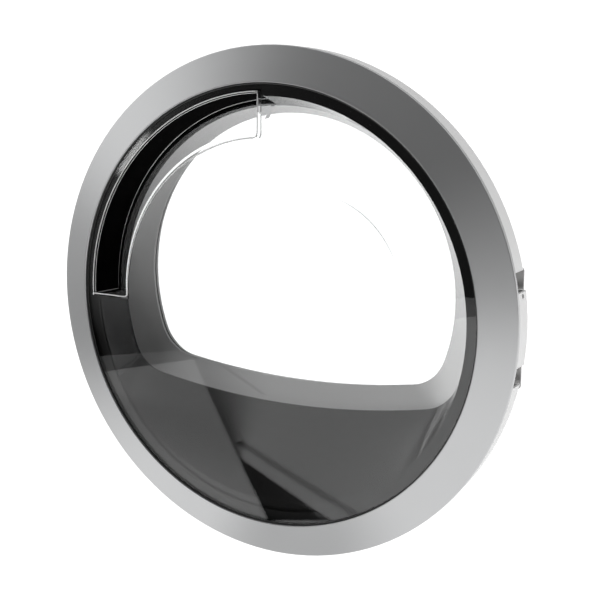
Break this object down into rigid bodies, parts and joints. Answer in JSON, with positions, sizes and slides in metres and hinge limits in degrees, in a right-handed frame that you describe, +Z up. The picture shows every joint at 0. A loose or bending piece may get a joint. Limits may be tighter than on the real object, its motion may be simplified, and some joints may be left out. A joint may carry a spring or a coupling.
{
  "type": "dryer door",
  "caption": "Round tumble-dryer door with a silver ring, a clear window with a moulded finger pocket, a see-through bowl behind, a side hinge and a sprung latch hook.",
  "frame": {"origin": "centre of the hinge plate's screw holes, on the face that lies against the cabinet", "axes": "+Y from the door's front towards the drum, +X from the door's middle to its hinge side, +Z up"},
  "size_m": [0.48, 0.09, 0.48],
  "materials": {
    "satin_silver": "satin metallic paint",
    "clear_pane": "clear, polished",
    "black_gloss": "polished",
    "liner_grey": "satin",
    "rim_white": "satin",
    "seal_rubber": "matt",
    "black_rubber": "matt",
    "hinge_metal": "zinc plated",
    "screw_steel": "zinc plated",
    "bush_plastic": "plain",
    "latch_black": "fine grain",
    "hook_grey": "plain"
  },
  "bodies": {
    "hinge": {"hinge_bracket": "hinge_metal", "hinge_bushes": "bush_plastic"},
    "door": {"trim_ring": "satin_silver", "front_window_gasket": "black_rubber", "front_window": "clear_pane", "inner_frame": "black_gloss", "door_liner": "liner_grey", "rear_window_gasket": "black_rubber", "rear_window": "clear_pane", "rear_window_retainer": "liner_grey", "retainer_screws": "screw_steel", "rim_cover": "rim_white", "rim_screws": "screw_steel", "liner_screws": "screw_steel", "door_seal": "seal_rubber", "hinge_carrier": "hinge_metal", "carrier_screws": "screw_steel", "hinge_pins": "screw_steel", "latch_housing": "latch_black", "latch_pin": "screw_steel", "latch_spring": "screw_steel", "latch_screws": "screw_steel"},
    "hook": {"latch_hook": "hook_grey"}
  },
  "joints": [
    {"name": "door_swing", "type": "hinge", "parent": "hinge", "child": "door", "pos_m": [0.016, -0.022, 0], "axis": [0, 0, 1], "range_deg": [0, 120]},
    {"name": "latch_hook_pivot", "type": "hinge", "parent": "door", "child": "hook", "pos_m": [-0.4225, -0.023, -0.03], "axis": [0, 0, -1], "range_deg": [0, 12], "stiffness_Nm_per_rad": 0.5, "springref_deg": -5.73}
  ]
}
